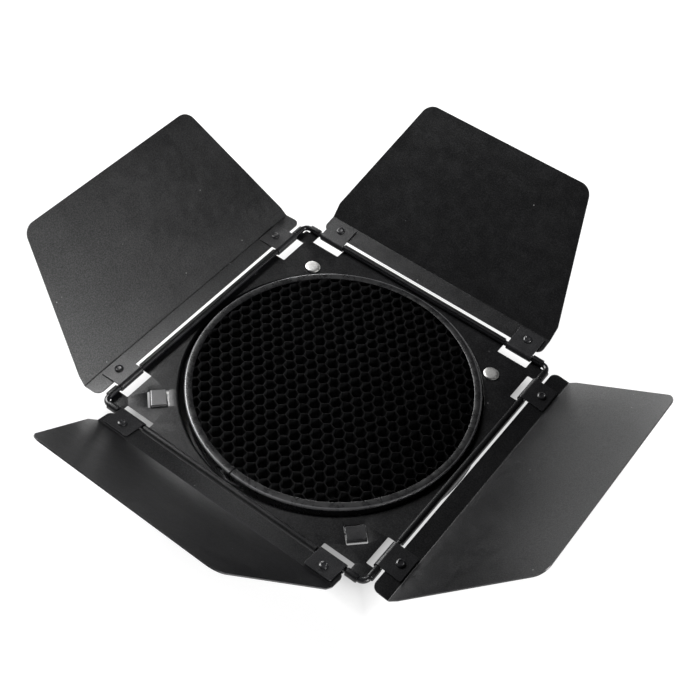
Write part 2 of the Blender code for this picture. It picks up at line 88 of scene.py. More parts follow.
# the head's domed top as (in from its rim, down from its middle)
HEAD_DOME = ((0.0, 0.0006), (0.0001, 0.0004), (0.0004, 0.00022), (0.0009, 0.00012),
             (0.0018, 0.00006), (0.0030, 0.00002), (HEAD_R, 0.0))
HEAD_GAP = 0.0001
TAIL_R = 0.0026
STUD_TAIL = ((0.0, 0.0013), (0.0020, 0.0013), (0.0025, 0.0015), (TAIL_R, 0.0017))
WASHER_R = 0.0047
WASHER_T = 0.0005
WASHER_LIFT = 0.0002
WASHER_PLAY = 0.0008
WASHER_ROUND = 0.0001
WASHER_ASIDE = (0.0004, 0.0003, 0)   # the loose washer sits a little off its stud
SPACER_R = 0.0030
SPACER_ROUND = 0.0002
SPACER_PLAY = 0.0002
SPACER_GAP = 0.0003

LEAF_T = 0.0008
FLANGE_N = 0.0015
FLANGE_START = 0.0044
FOLD_AT = 0.0160
FOLD_R = 0.0012
PANEL_LEN = 0.0949
FLANGE_CORNER_R = 0.0045
TIP_CORNER_R = 0.009
BRACKET_W = 0.0177
BRACKET_AT = 0.0731
BRACKET_T = 0.0007
BRACKET_R = 0.00245
BRACKET_END = 0.0146
LOOP_END = math.radians(325.0)
# the strap's free end, narrowed as (along from the end, in from the full half width)
STRAP_END = ((0.0, 0.0010), (0.0001, 0.00057), (0.0003, 0.00029), (0.0006, 0.00008), (0.001, 0.0))
RIVET_AT = 0.0084
RIVET_R = 0.0015
RIVET_HEAD_R = 0.0027
RIVET_TAIL_H = 0.0009
RIVET_GAP_LOW = 0.0002
RIVET_GAP_HIGH = 0.0001
# the dished head as (share of its radius, height over the strap)
RIVET_DISH = ((0.97, 0.0), (1.0, 0.0002), (0.96, 0.0006), (0.82, 0.00095), (0.62, 0.0011),
              (0.52, 0.00085), (0.3, 0.00078), (0.0, 0.00076))

# angles in degrees; a leaf's half width at its hinge, past its fold and at its tip
SIDE_SHAPE = dict(fold=52.0, wide=0.0944, kink=0.0936, tip=0.0691, kink_at=0.0066)
END_SHAPE = dict(fold=36.0, wide=0.0848, kink=0.0851, tip=0.0605, kink_at=0.0099)
LEAVES = {
    "left": dict(SIDE_SHAPE, head=180.0, rise=-3.6, shift=0.0004),
    "right": dict(SIDE_SHAPE, head=0.0, rise=-6.2, shift=-0.0011),
    "top": dict(END_SHAPE, head=90.0, rise=10.7, shift=-0.0011),
    "bottom": dict(END_SHAPE, head=270.0, rise=14.3, shift=0.0),
}

RIM_R = 0.0893
RIM_IN = 0.0844
RIM_T = 0.0007
RIM_WALL_R = 0.0889
RIM_ROUND = 0.0012
RIM_STEP = 0.0006            # the rim's bulge ends this far below its rounding
RIM_CUT_ROUND = 0.00022
RIM_LEDGE_R = 0.0864
RIM_WAVE = 0.00005
SEAM_DEG = -93.8
SEAM_HALF = 0.00045
CELL = 0.0074                # across the flats of the real honeycomb
CELL_TURN = math.radians(11.7)
FOIL = 0.00022
FOIL_GAP = 0.0002            # above and below, to the rim's flanges
FOIL_WALL_GAP = 0.0004
FOIL_STRAY = 0.0009
FOIL_STRAY_SCALE = 130
FOIL_STRAY_LEVELS = (0.7, 9.3)   # levels in the noise that push a node along x and along y
LEAST_CELL = 0.0012          # a cell reaching in by less than this is left out
SPRINGS = (("a", -92.8), ("b", 147.2), ("c", 27.2))
SPRING_HALF = math.radians(5.6)
SPRING_R = RIM_WALL_R + 0.00015
SPRING_T = 0.0003
SPRING_LOW = 0.0105
SPRING_HIGH = 0.0137
SPRING_BOW = 0.85            # share of the gap to the frame's throat that the bow takes up
SPRING_SEAT_GAP = 0.0003

COLLAR_IN = 0.0936
COLLAR_T = 0.0008
COLLAR_FOOT_R = 0.0947
COLLAR_ROUND = 0.0001
NOTCHES = ((45, 0.0105), (135, 0.0105), (225, 0.0065), (315, 0.0065))   # degrees, half length
NOTCH_LOW = 0.0022
NOTCH_HIGH = 0.0062
GRIP_Z = 0.0034
GRIP_R = 0.0910
HOOK_T = 0.0008
HOOK_HALF = 0.0057
HOOK_BEND_R = 0.001
HOOK_START = WINDOW_AT - 0.0048
HOOK_EDGE = WINDOW_AT + 0.0046
HOOK_LIFT = 0.0011           # mid line of the pad over the plate
HOOK_UNDER_GAP = 0.00025
HOOK_WALL_GAP = 0.0003
# the pad's free end, narrowed as (along from the end, in from the full half width)
HOOK_END = ((0.0, 0.0005), (0.0002, 0.00018), (0.0006, 0.0))
LEVER_T = 0.0008
LEVER_HALF = 0.0038
LEVER_BOSS_R = 0.0058
LEVER_TAIL = 0.0115
LEVER_TIP_R = 0.0008
LEVER_PLAY = 0.00008
LEVER_CLEAR = 0.0007         # from its mid level to the stud's tail below and the spacer above

# ---------------------------------------------------------------- how finely it is drawn
HOLE_SEGS = 176
THROAT_STEPS = 8
ROLL_STEPS = 22
WIRE_SIDES = 24
WIRE_STEPS = 12              # rings in each bent corner
CORNER_STEPS = 8
FOLD_STEPS = 10
TIP_STEPS = 12
LOOP_STEPS = 26
RIVET_SEGS = 32
RIM_SEGS = 200
SPRING_STEPS = 24
COLLAR_SEGS = 288
STUD_SEGS = 64
SPACER_SEGS = 40
LEVER_SEGS = 32
LEAF_BEVEL = 0.00022
STRAP_BEVEL = 0.00016
HOOK_BEVEL = 0.0002
SMOOTH_ANGLE = math.radians(32)
BEVEL_ANGLE = math.radians(40)
ALMOST_STRAIGHT = math.pi - 0.02


# ---------------------------------------------------------------- node helpers
class Shader:
    """A Principled material with short calls for the nodes that feed it."""

    def __init__(self, name):
        self.mat = bpy.data.materials.new(name)
        self.mat.use_nodes = True
        self.tree = self.mat.node_tree
        self.bsdf = self.tree.nodes["Principled BSDF"]
        self.place = self.add("ShaderNodeTexCoord").outputs["Object"]

    def add(self, kind, **values):
        node = self.tree.nodes.new(kind)
        for key, value in values.items():
            if hasattr(node, key):
                setattr(node, key, value)
            else:
                node.inputs[key].default_value = value
        return node

    def link(self, source, target):
        self.tree.links.new(source, target)

    def set(self, **values):
        for key, value in values.items():
            self.bsdf.inputs[key.replace("_", " ")].default_value = value

    def noise(self, scale, detail=3.0, rough=0.55):
        node = self.add("ShaderNodeTexNoise")
        node.inputs["Scale"].default_value = scale
        node.inputs["Detail"].default_value = detail
        node.inputs["Roughness"].default_value = rough
        self.link(self.place, node.inputs["Vector"])
        return node.outputs["Fac"]

    def spread(self, source, low, high, out_low, out_high):
        node = self.add("ShaderNodeMapRange")
        for key, value in zip(("From Min", "From Max", "To Min", "To Max"),
                              (low, high, out_low, out_high)):
            node.inputs[key].default_value = value
        self.link(source, node.inputs["Value"])
        return node.outputs["Result"]

    def blend(self, factor, first, second):
        node = self.add("ShaderNodeMix", data_type="RGBA")
        self.link(factor, node.inputs["Factor"])
        for socket, value in ((node.inputs[6], first), (node.inputs[7], second)):
            if isinstance(value, tuple):
                socket.default_value = (*value, 1.0)
            else:
                self.link(value, socket)
        return node.outputs[2]

    def bump(self, height, distance, strength, under=None):
        node = self.add("ShaderNodeBump")
        node.inputs["Distance"].default_value = distance
        node.inputs["Strength"].default_value = strength
        self.link(height, node.inputs["Height"])
        if under is not None:
            self.link(under, node.inputs["Normal"])
        return node.outputs["Normal"]

    def maths(self, operation, *sources):
        node = self.add("ShaderNodeMath", operation=operation)
        for source, socket in zip(sources, node.inputs):
            self.link(source, socket)
        return node.outputs[0]

    def specks(self, scale, share, size):
        """Small scattered spots, 1 inside a spot and 0 outside."""
        node = self.add("ShaderNodeTexVoronoi")
        node.inputs["Scale"].default_value = scale
        self.link(self.place, node.inputs["Vector"])
        split = self.add("ShaderNodeSeparateColor")
        self.link(node.outputs["Color"], split.inputs["Color"])
        chosen = self.spread(split.outputs[0], 1.0 - share, 1.0 - share * 0.9, 0.0, 1.0)
        near = self.spread(node.outputs["Distance"], size, size * 0.5, 0.0, 1.0)
        return self.maths("MULTIPLY", chosen, near)


def scaled(colour, share):
    return tuple(channel * share for channel in colour)


PEEL_DEPTH = 0.00010
DUST_SCALE = 420.0
DUST_SHARE = 0.004
DUST_SIZE = 0.22
DUST_GREY = (0.16, 0.16, 0.16)


def powder_coat(name, colour, rough, cell=1400.0, ripple=0.00006, shine=0.5):
    """Black powder coat: fine orange-peel grain, cloudy sheen, a little dust."""
    s = Shader(name)
    cloud = s.noise(16.0, 4.0, 0.6)
    mottle = s.noise(140.0, 3.0, 0.6)
    peel = s.noise(cell, 2.0, 0.5)
    tone = s.blend(s.spread(cloud, 0.3, 0.7, 0.0, 1.0), scaled(colour, 0.82),
                   scaled(colour, 1.22))
    tone = s.blend(s.spread(mottle, 0.52, 0.75, 0.0, 0.5), tone, scaled(colour, 1.5))
    tone = s.blend(s.spread(peel, 0.56, 0.72, 0.0, 0.6), tone, scaled(colour, 3.0))
    tone = s.blend(s.specks(DUST_SCALE, DUST_SHARE, DUST_SIZE), tone, DUST_GREY)
    s.link(tone, s.bsdf.inputs["Base Color"])
    wear = s.maths("ADD", s.spread(cloud, 0.3, 0.7, rough - 0.035, rough + 0.035),
                   s.spread(mottle, 0.3, 0.7, -0.025, 0.03))
    s.link(wear, s.bsdf.inputs["Roughness"])
    wave = s.bump(s.noise(22.0, 2.0, 0.4), ripple, 0.5)
    s.link(s.bump(peel, PEEL_DEPTH, 0.55, wave), s.bsdf.inputs["Normal"])
    s.link(s.spread(peel, 0.36, 0.64, shine * 0.72, shine * 1.28),
           s.bsdf.inputs["Specular IOR Level"])
    return s.mat


def edge_wear_and_highlight(name, colour, rough):
    """The thinner coat on cut edges and bends, lighter partly from rubbing and partly as a painted
    highlight.
    """
    s = Shader(name)
    rub = s.noise(260.0, 4.0, 0.65)
    tone = s.blend(s.spread(rub, 0.42, 0.72, 0.0, 1.0), colour, scaled(colour, 2.6))
    s.link(tone, s.bsdf.inputs["Base Color"])
    s.link(s.spread(rub, 0.3, 0.75, rough + 0.05, rough - 0.08), s.bsdf.inputs["Roughness"])
    s.link(s.bump(s.noise(1500.0, 2.0), 0.00002, 0.5), s.bsdf.inputs["Normal"])
    return s.mat


def satin_black(name, colour, rough, shine=0.5):
    """Smoother black finish of wire, hooks and rivets, with faint handling marks."""
    s = Shader(name)
    marks = s.noise(320.0, 4.0, 0.7)
    cloud = s.noise(50.0, 2.0)
    tone = s.blend(s.spread(marks, 0.5, 0.78, 0.0, 1.0), colour, scaled(colour, 2.2))
    s.link(tone, s.bsdf.inputs["Base Color"])
    s.link(s.spread(cloud, 0.3, 0.7, rough - 0.06, rough + 0.07), s.bsdf.inputs["Roughness"])
    s.link(s.bump(marks, 0.00003, 0.4), s.bsdf.inputs["Normal"])
    s.set(Specular_IOR_Level=shine)
    return s.mat


def anodised(name, colour, rough, metal, grain=0.00003, shine=0.5):
    """Thin black aluminium, dull and slightly streaked."""
    s = Shader(name)
    streak = s.noise(240.0, 3.0, 0.6)
    cloud = s.noise(30.0, 3.0)
    tone = s.blend(s.spread(cloud, 0.3, 0.7, 0.0, 1.0), scaled(colour, 0.75),
                   scaled(colour, 1.35))
    s.link(tone, s.bsdf.inputs["Base Color"])
    s.link(s.spread(streak, 0.3, 0.7, rough - 0.07, rough + 0.07), s.bsdf.inputs["Roughness"])
    s.link(s.bump(streak, grain, 0.5), s.bsdf.inputs["Normal"])
    s.set(Metallic=metal, Specular_IOR_Level=shine)
    return s.mat


def turned_metal(name, colour, rough, middle):
    """Bright plated metal with fine turning rings about its own middle."""
    s = Shader(name)
    shift = s.add("ShaderNodeMapping")
    shift.inputs["Location"].default_value = (-middle.x, -middle.y, 0.0)
    s.link(s.place, shift.inputs["Vector"])
    rings = s.add("ShaderNodeTexWave", wave_type="RINGS", rings_direction="Z")
    rings.inputs["Scale"].default_value = 900.0
    rings.inputs["Distortion"].default_value = 1.5
    rings.inputs["Detail"].default_value = 2.0
    s.link(shift.outputs["Vector"], rings.inputs["Vector"])
    stain = s.noise(520.0, 4.0, 0.65)
    tone = s.blend(s.spread(stain, 0.35, 0.7, 0.0, 1.0), colour, scaled(colour, 0.62))
    s.link(tone, s.bsdf.inputs["Base Color"])
    s.link(s.spread(stain, 0.3, 0.7, rough - 0.06, rough + 0.12), s.bsdf.inputs["Roughness"])
    s.link(s.bump(rings.outputs["Fac"], 0.00002, 0.35), s.bsdf.inputs["Normal"])
    s.set(Metallic=1.0)
    return s.mat


LEAF_COAT = powder_coat("leaf_powder_coat", (0.0032, 0.0032, 0.0036), 0.33)
PLATE_COAT = powder_coat("plate_powder_coat", (0.0035, 0.0035, 0.0039), 0.35, ripple=0.00004,
                         shine=0.32)
STRAP_COAT = powder_coat("strap_powder_coat", (0.0070, 0.0070, 0.0077), 0.34, cell=1700.0)
COLLAR_COAT = powder_coat("collar_powder_coat", (0.009, 0.009, 0.010), 0.45)
# painted highlight: the edge coat is several times lighter than the sheet coats, partly wear and
# partly the light that rounded edges catch
EDGE_COAT = edge_wear_and_highlight("sheet_edge_wear_and_highlight", (0.016, 0.016, 0.017), 0.32)
WIRE_COAT = satin_black("wire_coat", (0.007, 0.007, 0.008), 0.27)
# painted light: hooks and levers get a black several times lighter than the plate's coat, standing
# in for the light their tilted pads catch
STRIP_COAT_PAINTED_LIGHTER = satin_black("strip_coat_painted_lighter", (0.014, 0.014, 0.015), 0.30, shine=1.0)
RIVET_COAT = satin_black("rivet_coat", (0.010, 0.010, 0.011), 0.30)
RIM_COAT = anodised("rim_black", (0.0040, 0.0040, 0.0045), 0.29, 0.0, shine=0.85)
# painted highlight: the rim's rounded outer edge is far lighter and partly metallic, standing in
# for the line of light it catches
RIM_EDGE_HIGHLIGHT = anodised("rim_edge_painted_highlight", (0.090, 0.090, 0.093), 0.30, 0.35, grain=0.00001,
                    shine=0.8)
FOIL_COAT = anodised("honeycomb_foil", (0.0040, 0.0040, 0.0044), 0.40, 0.0, shine=1.0)
FOIL_EDGE = anodised("honeycomb_edge", (0.0022, 0.0022, 0.0024), 0.50, 0.0, shine=0.12)
SPRING_STEEL = anodised("spring_steel", (0.30, 0.30, 0.31), 0.30, 1.0)
# painted light: the hooks' run below the plate is light grey so that through the window it reads
# as the bright gap to the floor
UNDER_RUN_PAINTED_LIGHT = anodised("hook_under_run_painted_light", (0.62, 0.62, 0.62), 0.42, 0.6)
NICKEL = (0.70, 0.695, 0.68)
NICKEL_ROUGH = 0.42


# ---------------------------------------------------------------- mesh helpers
def place_piece(bm, name, body, nodes, materials, matrix=None, thick=None, bevel=None,
                flat=True):
    """Turns a bmesh into a piece that rides on a body and stands for CAD nodes. Cut edges,
    from the thickness or the bevel, take the last of the materials."""
    bmesh.ops.remove_doubles(bm, verts=bm.verts, dist=CLOSE)
    bmesh.ops.recalc_face_normals(bm, faces=bm.faces)
    bmesh.ops.transform(bm, matrix=Matrix.Translation(CENTRE) @ (matrix or Matrix.Identity(4)),
                        verts=bm.verts)
    mesh = bpy.data.meshes.new(name)
    bm.to_mesh(mesh)
    bm.free()
    for material in materials:
        mesh.materials.append(material)
    obj = bpy.data.objects.new(name, mesh)
    bpy.context.scene.collection.objects.link(obj)
    for poly in mesh.polygons:
        poly.use_smooth = True
    mesh.set_sharp_from_angle(angle=SMOOTH_ANGLE)
    edge_slot = len(materials) - 1
    if thick is not None:
        mod = obj.modifiers.new("thickness", "SOLIDIFY")
        mod.thickness = thick
        mod.offset = 0.0
        mod.use_even_offset = True
        mod.material_offset_rim = edge_slot
    if bevel is not None:
        mod = obj.modifiers.new("soft_edges", "BEVEL")
        mod.width = bevel
        mod.segments = 2
        mod.limit_method = "ANGLE"
        mod.angle_limit = BEVEL_ANGLE
        mod.material = edge_slot
    if flat:
        mod = obj.modifiers.new("flat_faces_stay_flat", "WEIGHTED_NORMAL")
        mod.mode = "FACE_AREA"
        mod.weight = 100
        mod.keep_sharp = True
    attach(obj, body)
    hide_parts(*nodes)
    return obj


def arc(cx, cy, radius, first, last, steps):
    """Points on a circle from one angle to another, both ends included."""
    turns = [first + (last - first) * i / steps for i in range(steps + 1)]
    return [(cx + radius * math.cos(a), cy + radius * math.sin(a)) for a in turns]


def full_circle(cx, cy, radius, segs):
    return arc(cx, cy, radius, 0, math.tau * (segs - 1) / segs, segs - 1)


def rounded(points, radius, steps):
    """A closed outline with each corner filleted; radius is one value or one per corner."""
    out = []
    count = len(points)
    for i, point in enumerate(points):
        r = radius[i] if isinstance(radius, (list, tuple)) else radius
        p = Vector(point)
        before = (Vector(points[i - 1]) - p).normalized()
        after = (Vector(points[(i + 1) % count]) - p).normalized()
        turn = math.acos(max(-1.0, min(1.0, before.dot(after))))
        if r <= 0 or turn > ALMOST_STRAIGHT:
            out.append((p.x, p.y))
            continue
        reach = r / math.tan(turn / 2)
        middle = p + (before + after).normalized() * (r / math.sin(turn / 2))
        start = p + before * reach - middle
        end = p + after * reach - middle
        swing = math.atan2(start.cross(end), start.dot(end))
        for k in range(steps + 1):
            a = swing * k / steps
            out.append((middle.x + start.x * math.cos(a) - start.y * math.sin(a),
                        middle.y + start.x * math.sin(a) + start.y * math.cos(a)))
    return out


def turned(profile, segs, closed=False):
    """Solid of revolution about Z from (radius, height) points."""
    bm = bmesh.new()
    verts = [bm.verts.new((r, 0, z)) for r, z in profile]
    pairs = list(zip(verts, verts[1:]))
    if closed:
        pairs.append((verts[-1], verts[0]))
    edges = [bm.edges.new(pair) for pair in pairs]
    bmesh.ops.spin(bm, geom=verts + edges, cent=(0, 0, 0), axis=(0, 0, 1), angle=math.tau,
                   steps=segs, use_merge=True, use_duplicate=False)
    bmesh.ops.remove_doubles(bm, verts=bm.verts, dist=CLOSE)
    return bm


def joined_loop(bm, points, z):
    """A closed loop of edges through flat points at one height."""
    verts = [bm.verts.new((x, y, z)) for x, y in points]
    return [bm.edges.new(pair) for pair in zip(verts, verts[1:] + verts[:1])]


def box_bar(bm, rows):
    """Faces of a bar whose sections are rows of four corners, with both ends closed."""
    for a, b in zip(rows, rows[1:]):
        for k in range(4):
            bm.faces.new((a[k], a[(k + 1) % 4], b[(k + 1) % 4], b[k]))
    bm.faces.new(rows[0])
    bm.faces.new(rows[-1])


def strip(path, thick, half_widths):
    """Even strip: a mid line in the x-z plane with the half width given at each point."""
    left, right = [], []
    last = len(path) - 1
    for i, (u, n) in enumerate(path):
        before = path[max(i - 1, 0)]
        after = path[min(i + 1, last)]
        d1 = Vector((u - before[0], n - before[1])) if i else Vector((after[0] - u, after[1] - n))
        d2 = Vector((after[0] - u, after[1] - n)) if i < last else d1
        d1.normalize()
        d2.normalize()
        t = (d1 + d2).normalized()
        s = thick / 2 / max(t.dot(d1), 0.5)
        left.append((u - t.y * s, n + t.x * s))
        right.append((u + t.y * s, n - t.x * s))
    bm = bmesh.new()
    rows = []
    for i, h in enumerate(half_widths):
        rows.append([bm.verts.new((left[i][0], -h, left[i][1])),
                     bm.verts.new((left[i][0], h, left[i][1])),
                     bm.verts.new((right[i][0], h, right[i][1])),
                     bm.verts.new((right[i][0], -h, right[i][1]))])
    box_bar(bm, rows)
    return bm


# ---------------------------------------------------------------- frame plate
def plate_outline():
    """The pressed sheet's flat outline: one side and corner, four times round."""
    soft = SLOT_CORNER_R
    quarter = [((-SLOT_IN, FRAME_HALF), 0), ((SLOT_IN, FRAME_HALF), 0),
               ((SLOT_IN, SLOT_DEPTH_AT), soft), ((SLOT_OUT, SLOT_DEPTH_AT), soft),
               ((SLOT_OUT, FRAME_HALF), 0), ((CORNER_TAB_END, FRAME_HALF), 0),
               ((CORNER_TAB_END, CORNER_CUT), 0), ((CORNER_CUT, CORNER_CUT), soft),
               ((CORNER_CUT, CORNER_TAB_END), 0),
               ((FRAME_HALF, CORNER_TAB_END), 0), ((FRAME_HALF, SLOT_OUT), 0),
               ((SLOT_DEPTH_AT, SLOT_OUT), soft), ((SLOT_DEPTH_AT, SLOT_IN), soft)]
    points, radii = [], []
    for turn in range(4):
        c, s = math.cos(-math.pi / 2 * turn), math.sin(-math.pi / 2 * turn)
        for (x, y), r in quarter:
            points.append((x * c - y * s, x * s + y * c))
            radii.append(r)
    return rounded(points, radii, 3)


def window_outline(sx):
    """The corner window that a fixed hook comes through, at the left or right near corner."""
    c = OFF_AXIS
    mid = WINDOW_AT * c
    hr, ht = WINDOW_RAD / 2, WINDOW_TAN / 2
    points = []
    for a, b in ((-hr, -ht), (hr, -ht), (hr, ht), (-hr, ht)):
        points.append((sx * mid + (sx * a + b) * c, -mid + (-a + sx * b) * c))
    return rounded(points, WINDOW_CORNER_R, 3)


def build_plate():
    """Mid surface of the frame: the flat sheet, then the hole's turned-down edge drawn from
    its circle, then each side rolled round the wire."""
    bm = bmesh.new()
    outer = joined_loop(bm, plate_outline(), PLATE_MID)
    hole = joined_loop(bm, full_circle(0, 0, HOLE_R, HOLE_SEGS), PLATE_MID)
    extra = []
    mid = STUD_AT * OFF_AXIS
    for sx in (-1, 1):
        extra += joined_loop(bm, window_outline(sx), PLATE_MID)
        extra += joined_loop(bm, full_circle(sx * mid, mid, STUD_R + STUD_PLAY, 24), PLATE_MID)
    bmesh.ops.triangle_fill(bm, use_beauty=True, use_dissolve=False, edges=outer + hole + extra)

    ring = hole
    steps = THROAT_STEPS
    bend = HOLE_R - THROAT_R
    for i in range(1, steps + 2):
        res = bmesh.ops.extrude_edge_only(bm, edges=ring)
        verts = [g for g in res["geom"] if isinstance(g, bmesh.types.BMVert)]
        ring = [g for g in res["geom"] if isinstance(g, bmesh.types.BMEdge)]
        for v in verts:
            a = math.pi / 2 * min(i, steps) / steps
            r = HOLE_R - bend * math.sin(a)
            z = PLATE_MID - bend * (1 - math.cos(a)) if i <= steps else THROAT_END_Z
            k = r / math.hypot(v.co.x, v.co.y)
            v.co = (v.co.x * k, v.co.y * k, z)

    for e in outer:
        a, b = e.verts
        if abs(abs(a.co.x) - FRAME_HALF) < CLOSE and abs(a.co.x - b.co.x) < CLOSE:
            out = Vector((math.copysign(1, a.co.x), 0, 0))
        elif abs(abs(a.co.y) - FRAME_HALF) < CLOSE and abs(a.co.y - b.co.y) < CLOSE:
            out = Vector((0, math.copysign(1, a.co.y), 0))
        else:
            continue
        middle = out * FRAME_HALF + Vector((0, 0, WIRE_Z))
        bmesh.ops.spin(bm, geom=[a, b, e], cent=middle, axis=-Vector((0, 0, 1)).cross(out),
                       angle=math.pi / 2 + ROLL_END, steps=ROLL_STEPS, use_merge=False,
                       use_duplicate=False)
    place_piece(bm, "plate_shell", "frame", ["frame_plate"],
                [PLATE_COAT, EDGE_COAT], thick=SHEET)


# ---------------------------------------------------------------- hinge wire
def build_wire():
    """One closed tube: the four straights lie between the rings of the bent corners."""
    bm = bmesh.new()
    sides = WIRE_SIDES
    straight = FRAME_HALF - WIRE_BEND_R
    steps = WIRE_STEPS
    rings = []
    for corner in range(4):
        cx = straight * (1 if corner in (0, 3) else -1)
        cy = straight * (1 if corner in (0, 1) else -1)
        for i in range(steps + 1):
            a = math.pi / 2 * (corner + i / steps)
            ring = []
            for k in range(sides):
                t = math.tau * k / sides
                r = WIRE_BEND_R + WIRE_DRAWN_R * math.cos(t)
                ring.append(bm.verts.new((cx + r * math.cos(a), cy + r * math.sin(a),
                                          WIRE_Z + WIRE_DRAWN_R * math.sin(t))))
            rings.append(ring)
    for i, ring in enumerate(rings):
        after = rings[(i + 1) % len(rings)]
        for k in range(sides):
            bm.faces.new((ring[k], after[k], after[(k + 1) % sides], ring[(k + 1) % sides]))
    place_piece(bm, "wire_square", "frame", ["hinge_wire"], [WIRE_COAT],
                flat=False)


# ---------------------------------------------------------------- leaves
def leaf_rows(spec):
    """Rows (x, z, half width) of the sheet's mid surface, hinge axis at the origin."""
    fold = math.radians(spec["fold"])
    tangent = FOLD_R * math.tan(fold / 2)
    wide, kink, tip, k = spec["wide"], spec["kink"], spec["tip"], spec["kink_at"]
    out = []
    for i in range(CORNER_STEPS + 1):
        a = math.pi / 2 * i / CORNER_STEPS
        out.append((FLANGE_START + FLANGE_CORNER_R * (1 - math.cos(a)), FLANGE_N,
                    wide - FLANGE_CORNER_R * (1 - math.sin(a))))
    at = FOLD_AT - tangent
    for i in range(FOLD_STEPS + 1):
        a = fold * i / FOLD_STEPS
        share = min(FOLD_R * a / (k + tangent), 1.0)
        out.append((at + FOLD_R * math.sin(a), FLANGE_N + FOLD_R * (1 - math.cos(a)),
                    wide + (kink - wide) * share))
    slope = math.atan2(kink - tip, PANEL_LEN - k)
    turn = math.pi / 2 - slope
    cut = TIP_CORNER_R * math.tan(turn / 2)
    tips = [(k, kink)]
    for i in range(TIP_STEPS + 1):
        a = turn * (1 - i / TIP_STEPS)
        tips.append((PANEL_LEN - TIP_CORNER_R + TIP_CORNER_R * math.cos(a),
                     tip - cut + TIP_CORNER_R * math.sin(a)))
    for s, w in tips:
        out.append((FOLD_AT + s * math.cos(fold), FLANGE_N + s * math.sin(fold), w))
    return out


def leaf_matrix(spec):
    """From a leaf's own frame, with its hinge axis on Y, to its place about the wire."""
    head = math.radians(spec["head"])
    out = Vector((math.cos(head), math.sin(head), 0))
    along = Vector((-math.sin(head), math.cos(head), 0))
    on_axis = out * FRAME_HALF + along * spec["shift"] + Vector((0, 0, WIRE_Z))
    rise = Matrix.Rotation(-math.radians(spec["rise"]), 4, "Y")
    return Matrix.Translation(on_axis) @ Matrix.Rotation(head, 4, "Z") @ rise


def build_leaf(key, spec):
    matrix = leaf_matrix(spec)
    body = "leaf_%s_set" % key
    bm = bmesh.new()
    pairs = [(bm.verts.new((x, -w, z)), bm.verts.new((x, w, z)))
             for x, z, w in leaf_rows(spec)]
    for (a, b), (c, d) in zip(pairs, pairs[1:]):
        bm.faces.new((a, b, d, c))
    place_piece(bm, "door_%s" % key, body, ["leaf_" + key], [LEAF_COAT, EDGE_COAT],
                matrix, thick=LEAF_T, bevel=LEAF_BEVEL)
    for tag, side in (("a", -1), ("b", 1)):
        at = matrix @ Matrix.Translation((0, side * BRACKET_AT, 0))
        build_strap(key, tag, body, at)
        build_rivet(key, tag, body, at @ Matrix.Translation((RIVET_AT, 0, 0)))


def build_strap(key, tag, body, matrix):
    """Hinge strap: flat on the leaf's flange, then looped round the wire."""
    half = BRACKET_W / 2
    path = [(BRACKET_END - along, BRACKET_R) for along, _ in STRAP_END]
    widths = [half - narrow for _, narrow in STRAP_END]
    loop = arc(0, 0, BRACKET_R, math.pi / 2, LOOP_END, LOOP_STEPS)
    path += loop
    widths += [half] * len(loop)
    bm = strip(path, BRACKET_T, widths)
    place_piece(bm, "strap_%s_%s" % (key, tag), body, ["hinge_%s_%s" % (key, tag)],
                [STRAP_COAT, EDGE_COAT], matrix, bevel=STRAP_BEVEL)


def build_rivet(key, tag, body, matrix):
    """Rivet through strap and flange: a flattened tail below, a dished head above."""
    low = FLANGE_N - LEAF_T / 2 - RIVET_GAP_LOW
    high = BRACKET_R + BRACKET_T / 2 + RIVET_GAP_HIGH
    tail = low - RIVET_TAIL_H
    r = RIVET_HEAD_R
    profile = [(0, tail), (r * 0.62, tail), (r * 0.8, tail + 0.0002), (r * 0.85, low),
               (RIVET_R, low), (RIVET_R, high)]
    profile += [(r * share, high + lift) for share, lift in RIVET_DISH]
    bm = turned(profile, RIVET_SEGS)
    place_piece(bm, "rivet_head_%s_%s" % (key, tag), body, ["rivet_%s_%s" % (key, tag)],
                [RIVET_COAT], matrix)


# ---------------------------------------------------------------- honeycomb grid
def ring_sweep(profile, start, sweep, segs, wobble):
    """A closed profile swept part of the way round Z, waving a little up and down."""
    bm = bmesh.new()
    rings = []
    for i in range(segs + 1):
        a = start + sweep * i / segs
        lift = wobble * noise.noise(Vector((math.cos(a) * 2, math.sin(a) * 2, 3.1)))
        rings.append([bm.verts.new((r * math.cos(a), r * math.sin(a), z + lift))
                      for r, z in profile])
    count = len(profile)
    for a, b in zip(rings, rings[1:]):
        for k in range(count):
            bm.faces.new((a[k], b[k], b[(k + 1) % count], a[(k + 1) % count]))
    return bm, rings


